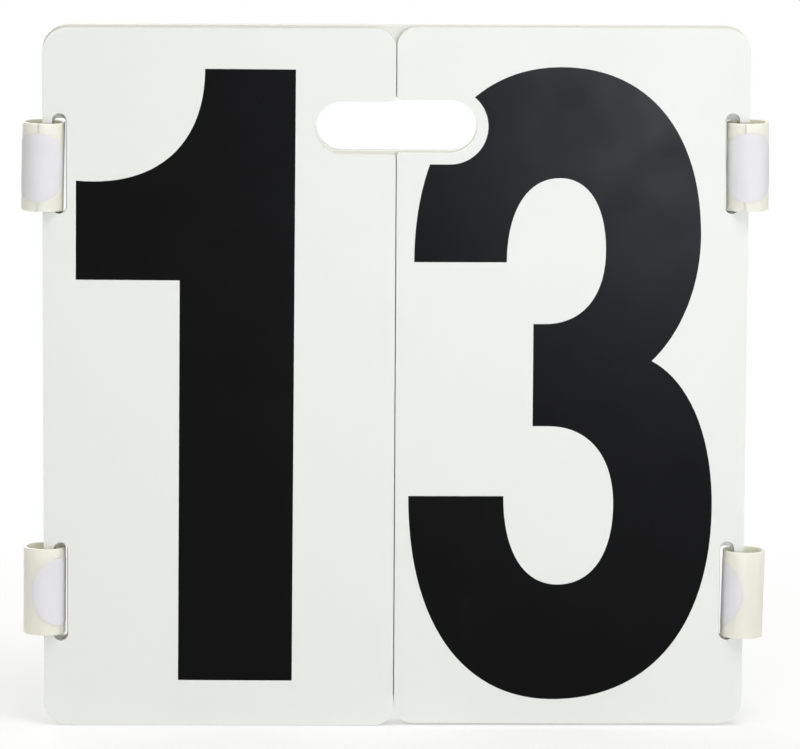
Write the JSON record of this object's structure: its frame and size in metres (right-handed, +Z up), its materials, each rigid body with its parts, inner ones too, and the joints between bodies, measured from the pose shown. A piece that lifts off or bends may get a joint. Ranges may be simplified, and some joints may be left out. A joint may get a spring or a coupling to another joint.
{
  "type": "flip scoreboard",
  "caption": "Hand-held flip board that shows a score in large digits on packs of plastic cards, which turn on slit tubes at the sides of a backing board, under a grip hole.",
  "frame": {"origin": "centre of the grip hole, on the front face of the backing board", "axes": "+X to the right of a person reading the digits, +Y away from that person, +Z up"},
  "size_m": [0.3768, 0.0228, 0.357],
  "materials": {
    "board": "satin",
    "card": "satin",
    "numeral": "satin",
    "ring": "satin",
    "label": "matte"
  },
  "bodies": {
    "board": {"base_board": "board"},
    "left_leaf_9": {"left_card_9": "card", "left_numeral_9": "numeral"},
    "left_leaf_8": {"left_card_8": "card", "left_numeral_8": "numeral"},
    "left_leaf_7": {"left_card_7": "card", "left_numeral_7": "numeral"},
    "left_leaf_6": {"left_card_6": "card", "left_numeral_6": "numeral"},
    "left_leaf_5": {"left_card_5": "card", "left_numeral_5": "numeral"},
    "left_leaf_4": {"left_card_4": "card", "left_numeral_4": "numeral"},
    "left_leaf_3": {"left_card_3": "card", "left_numeral_3": "numeral"},
    "left_leaf_2": {"left_card_2": "card", "left_numeral_2": "numeral"},
    "left_leaf_1": {"left_card_1": "card", "left_numeral_1": "numeral"},
    "left_leaf_0": {"left_card_0": "card", "left_numeral_0": "numeral"},
    "upper_left_tube": {"upper_left_ring": "ring", "upper_left_label": "label"},
    "lower_left_tube": {"lower_left_ring": "ring", "lower_left_label": "label"},
    "right_leaf_9": {"right_card_9": "card", "right_numeral_9": "numeral"},
    "right_leaf_8": {"right_card_8": "card", "right_numeral_8": "numeral"},
    "right_leaf_7": {"right_card_7": "card", "right_numeral_7": "numeral"},
    "right_leaf_6": {"right_card_6": "card", "right_numeral_6": "numeral"},
    "right_leaf_5": {"right_card_5": "card", "right_numeral_5": "numeral"},
    "right_leaf_4": {"right_card_4": "card", "right_numeral_4": "numeral"},
    "right_leaf_3": {"right_card_3": "card", "right_numeral_3": "numeral"},
    "right_leaf_0": {"right_card_0": "card", "right_numeral_0": "numeral"},
    "right_leaf_1": {"right_card_1": "card", "right_numeral_1": "numeral"},
    "right_leaf_2": {"right_card_2": "card", "right_numeral_2": "numeral"},
    "upper_right_tube": {"upper_right_ring": "ring", "upper_right_label": "label"},
    "lower_right_tube": {"lower_right_ring": "ring", "lower_right_label": "label"}
  },
  "joints": [
    {"name": "left_turn_9", "type": "hinge", "parent": "board", "child": "left_leaf_9", "pos_m": [-0.17745, 0, -0.128], "axis": [0, 0, -1], "range_deg": [0, 180]},
    {"name": "left_turn_8", "type": "hinge", "parent": "left_leaf_9", "child": "left_leaf_8", "pos_m": [-0.17745, 0, -0.128], "axis": [0, 0, -1], "range_deg": [0, 180]},
    {"name": "left_turn_7", "type": "hinge", "parent": "left_leaf_8", "child": "left_leaf_7", "pos_m": [-0.17745, 0, -0.128], "axis": [0, 0, -1], "range_deg": [0, 180]},
    {"name": "left_turn_6", "type": "hinge", "parent": "left_leaf_7", "child": "left_leaf_6", "pos_m": [-0.17745, 0, -0.128], "axis": [0, 0, -1], "range_deg": [0, 180]},
    {"name": "left_turn_5", "type": "hinge", "parent": "left_leaf_6", "child": "left_leaf_5", "pos_m": [-0.17745, 0, -0.128], "axis": [0, 0, -1], "range_deg": [0, 180]},
    {"name": "left_turn_4", "type": "hinge", "parent": "left_leaf_5", "child": "left_leaf_4", "pos_m": [-0.17745, 0, -0.128], "axis": [0, 0, -1], "range_deg": [0, 180]},
    {"name": "left_turn_3", "type": "hinge", "parent": "left_leaf_4", "child": "left_leaf_3", "pos_m": [-0.17745, 0, -0.128], "axis": [0, 0, -1], "range_deg": [0, 180]},
    {"name": "left_turn_2", "type": "hinge", "parent": "left_leaf_3", "child": "left_leaf_2", "pos_m": [-0.17745, 0, -0.128], "axis": [0, 0, -1], "range_deg": [0, 180]},
    {"name": "left_turn_1", "type": "hinge", "parent": "left_leaf_2", "child": "left_leaf_1", "pos_m": [-0.17745, 0, -0.128], "axis": [0, 0, -1], "range_deg": [0, 180]},
    {"name": "left_turn_0", "type": "hinge", "parent": "board", "child": "left_leaf_0", "pos_m": [-0.17745, 0, -0.128], "axis": [0, 0, 1], "range_deg": [0, 180]},
    {"name": "upper_left_spin", "type": "hinge", "parent": "board", "child": "upper_left_tube", "pos_m": [-0.1772, 0, -0.0215], "axis": [0.0209, 0, 0.9998], "continuous": true},
    {"name": "lower_left_spin", "type": "hinge", "parent": "board", "child": "lower_left_tube", "pos_m": [-0.1772, 0, -0.238], "axis": [0.007, 0, 1], "continuous": true},
    {"name": "right_turn_9", "type": "hinge", "parent": "board", "child": "right_leaf_9", "pos_m": [0.17745, 0.00121, -0.128], "axis": [0, 0, 1], "range_deg": [0, 180]},
    {"name": "right_turn_8", "type": "hinge", "parent": "right_leaf_9", "child": "right_leaf_8", "pos_m": [0.17745, 0.00121, -0.128], "axis": [0, 0, 1], "range_deg": [0, 180]},
    {"name": "right_turn_7", "type": "hinge", "parent": "right_leaf_8", "child": "right_leaf_7", "pos_m": [0.17745, 0.00121, -0.128], "axis": [0, 0, 1], "range_deg": [0, 180]},
    {"name": "right_turn_6", "type": "hinge", "parent": "right_leaf_7", "child": "right_leaf_6", "pos_m": [0.17745, 0.00121, -0.128], "axis": [0, 0, 1], "range_deg": [0, 180]},
    {"name": "right_turn_5", "type": "hinge", "parent": "right_leaf_6", "child": "right_leaf_5", "pos_m": [0.17745, 0.00121, -0.128], "axis": [0, 0, 1], "range_deg": [0, 180]},
    {"name": "right_turn_4", "type": "hinge", "parent": "right_leaf_5", "child": "right_leaf_4", "pos_m": [0.17745, 0.00121, -0.128], "axis": [0, 0, 1], "range_deg": [0, 180]},
    {"name": "right_turn_3", "type": "hinge", "parent": "right_leaf_4", "child": "right_leaf_3", "pos_m": [0.17745, 0.00121, -0.128], "axis": [0, 0, 1], "range_deg": [0, 180]},
    {"name": "right_turn_0", "type": "hinge", "parent": "board", "child": "right_leaf_0", "pos_m": [0.17745, 0.00121, -0.128], "axis": [0, 0, -1], "range_deg": [0, 180]},
    {"name": "right_turn_1", "type": "hinge", "parent": "right_leaf_0", "child": "right_leaf_1", "pos_m": [0.17745, 0.00121, -0.128], "axis": [0, 0, -1], "range_deg": [0, 180]},
    {"name": "right_turn_2", "type": "hinge", "parent": "right_leaf_1", "child": "right_leaf_2", "pos_m": [0.17745, 0.00121, -0.128], "axis": [0, 0, -1], "range_deg": [0, 180]},
    {"name": "upper_right_spin", "type": "hinge", "parent": "board", "child": "upper_right_tube", "pos_m": [0.17695, 0.00121, -0.0206], "axis": [-0.0087, 0, 1], "continuous": true},
    {"name": "lower_right_spin", "type": "hinge", "parent": "board", "child": "lower_right_tube", "pos_m": [0.17745, 0.00121, -0.2394], "axis": [0.0192, 0, 0.9998], "continuous": true}
  ]
}
